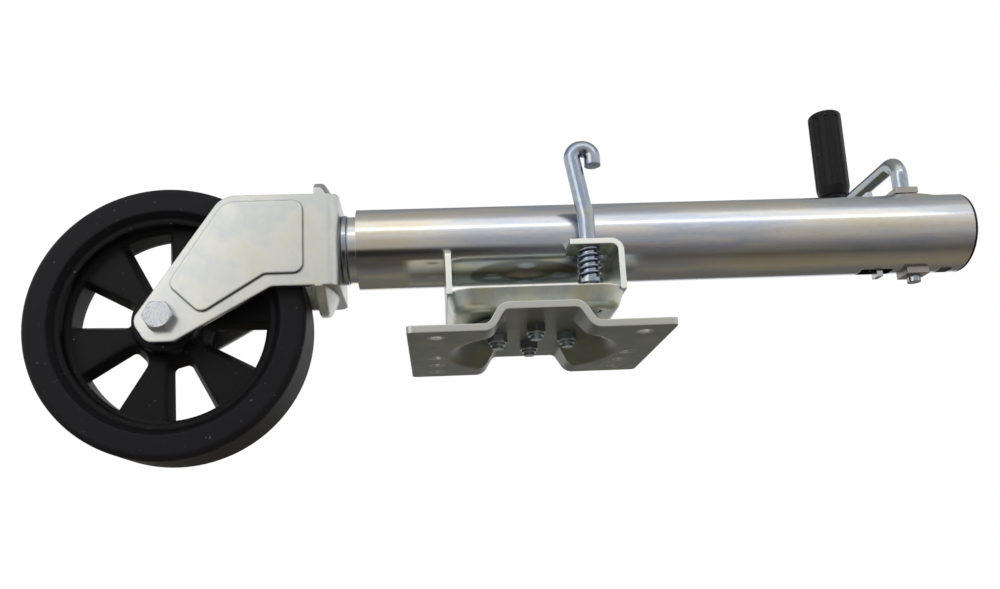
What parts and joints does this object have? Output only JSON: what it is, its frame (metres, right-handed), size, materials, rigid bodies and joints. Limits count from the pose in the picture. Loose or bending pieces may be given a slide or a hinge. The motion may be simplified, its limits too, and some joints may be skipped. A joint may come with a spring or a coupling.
{
  "type": "trailer jack",
  "caption": "Swing-up trailer jack: a castor wheel on a sliding tube driven by a side crank, bevel gears and a screw, on a swivel bracket with a spring lock pin and bolt-on plate.",
  "frame": {"origin": "on the swing axis, in the mounting face of the plate, between its outer bolt rows", "axes": "+X along the leg from the wheel to the crank, +Y across the leg away from the lock pin, +Z from the mounting face to the leg"},
  "size_m": [0.7031, 0.1997, 0.3146],
  "materials": {
    "plate_zinc": "zinc plated, dull",
    "bracket_zinc": "yellowish zinc plating",
    "tube_zinc": "bright zinc plating",
    "fork_zinc": "pale zinc plating",
    "rod_zinc": "bluish zinc plating",
    "bolt_zinc": "blue zinc plating",
    "machined_steel": "machined, oiled",
    "spring_steel": "dark zinc plating",
    "black_plastic": "moulded, matt",
    "bush_plastic": "moulded, matt",
    "guide_plastic": "moulded, matt",
    "wheel_plastic": "moulded, matt",
    "tyre_rubber": "solid rubber, matt"
  },
  "bodies": {
    "mount": {"mounting_plate": "plate_zinc", "pivot_hub": "machined_steel", "retaining_disc": "plate_zinc", "pivot_bolts": "bolt_zinc", "pivot_nuts": "bolt_zinc"},
    "bracket": {"swivel_bracket": "bracket_zinc", "outer_tube": "tube_zinc", "mouth_guide": "guide_plastic", "end_cap": "black_plastic", "upper_crank_bush": "bush_plastic", "lower_crank_bush": "bush_plastic", "bearing_carrier": "tube_zinc", "thrust_race_carrier": "machined_steel", "ball_cage": "machined_steel", "thrust_balls": "machined_steel", "lock_spring": "spring_steel"},
    "lock_pin": {"lock_pin": "rod_zinc", "lock_pin_collar": "rod_zinc"},
    "leg": {"inner_tube": "tube_zinc", "drive_nut": "machined_steel", "leg_guide": "guide_plastic", "leg_plug": "machined_steel", "castor_race": "rod_zinc", "king_pin": "machined_steel"},
    "castor": {"castor_fork": "fork_zinc", "axle_bolt": "rod_zinc", "axle_nut": "bolt_zinc", "axle_spacer_near": "machined_steel", "axle_spacer_far": "machined_steel"},
    "wheel": {"wheel_centre": "wheel_plastic", "tyre": "tyre_rubber", "wheel_bush": "machined_steel"},
    "screw": {"lead_screw": "machined_steel", "driven_gear": "machined_steel", "gear_roll_pin": "machined_steel", "thrust_race_screw": "machined_steel"},
    "crank": {"crank_handle": "rod_zinc", "crank_pinion": "machined_steel", "pinion_roll_pin": "machined_steel"},
    "grip": {"grip": "black_plastic"}
  },
  "joints": [
    {"name": "swing", "type": "hinge", "parent": "mount", "child": "bracket", "pos_m": [0, 0, 0], "axis": [0, 0, 1], "range_deg": [0, 90]},
    {"name": "lock_slide", "type": "slide", "parent": "bracket", "child": "lock_pin", "axis": [0, 0, 1], "range_m": [-0.0155, 0.0035], "deforming": ["lock_spring"]},
    {"name": "leg_extend", "type": "slide", "parent": "bracket", "child": "leg", "axis": [-1, 0, 0], "range_m": [0, 0.25]},
    {"name": "castor_swivel", "type": "hinge", "parent": "leg", "child": "castor", "pos_m": [-0.138, 0, 0.084], "axis": [1, 0, 0], "continuous": true},
    {"name": "wheel_spin", "type": "hinge", "parent": "castor", "child": "wheel", "pos_m": [-0.264, 0, 0.0277], "axis": [0, 1, 0], "continuous": true},
    {"name": "screw_spin", "type": "hinge", "parent": "bracket", "child": "screw", "pos_m": [0, 0, 0.084], "axis": [1, 0, 0], "range_deg": [-18000, 0]},
    {"name": "crank_turn", "type": "hinge", "parent": "bracket", "child": "crank", "pos_m": [0.298, 0, 0.084], "axis": [0, 0, 1], "range_deg": [-30000, 0]},
    {"name": "grip_spin", "type": "hinge", "parent": "crank", "child": "grip", "pos_m": [0.298, 0.112, 0.16], "axis": [0, 0, 1], "continuous": true}
  ],
  "couplings": [
    {"joint": "screw_spin", "follows": "leg_extend", "rad_per_m": -1256.6},
    {"joint": "crank_turn", "follows": "leg_extend", "rad_per_m": -2094.4}
  ]
}
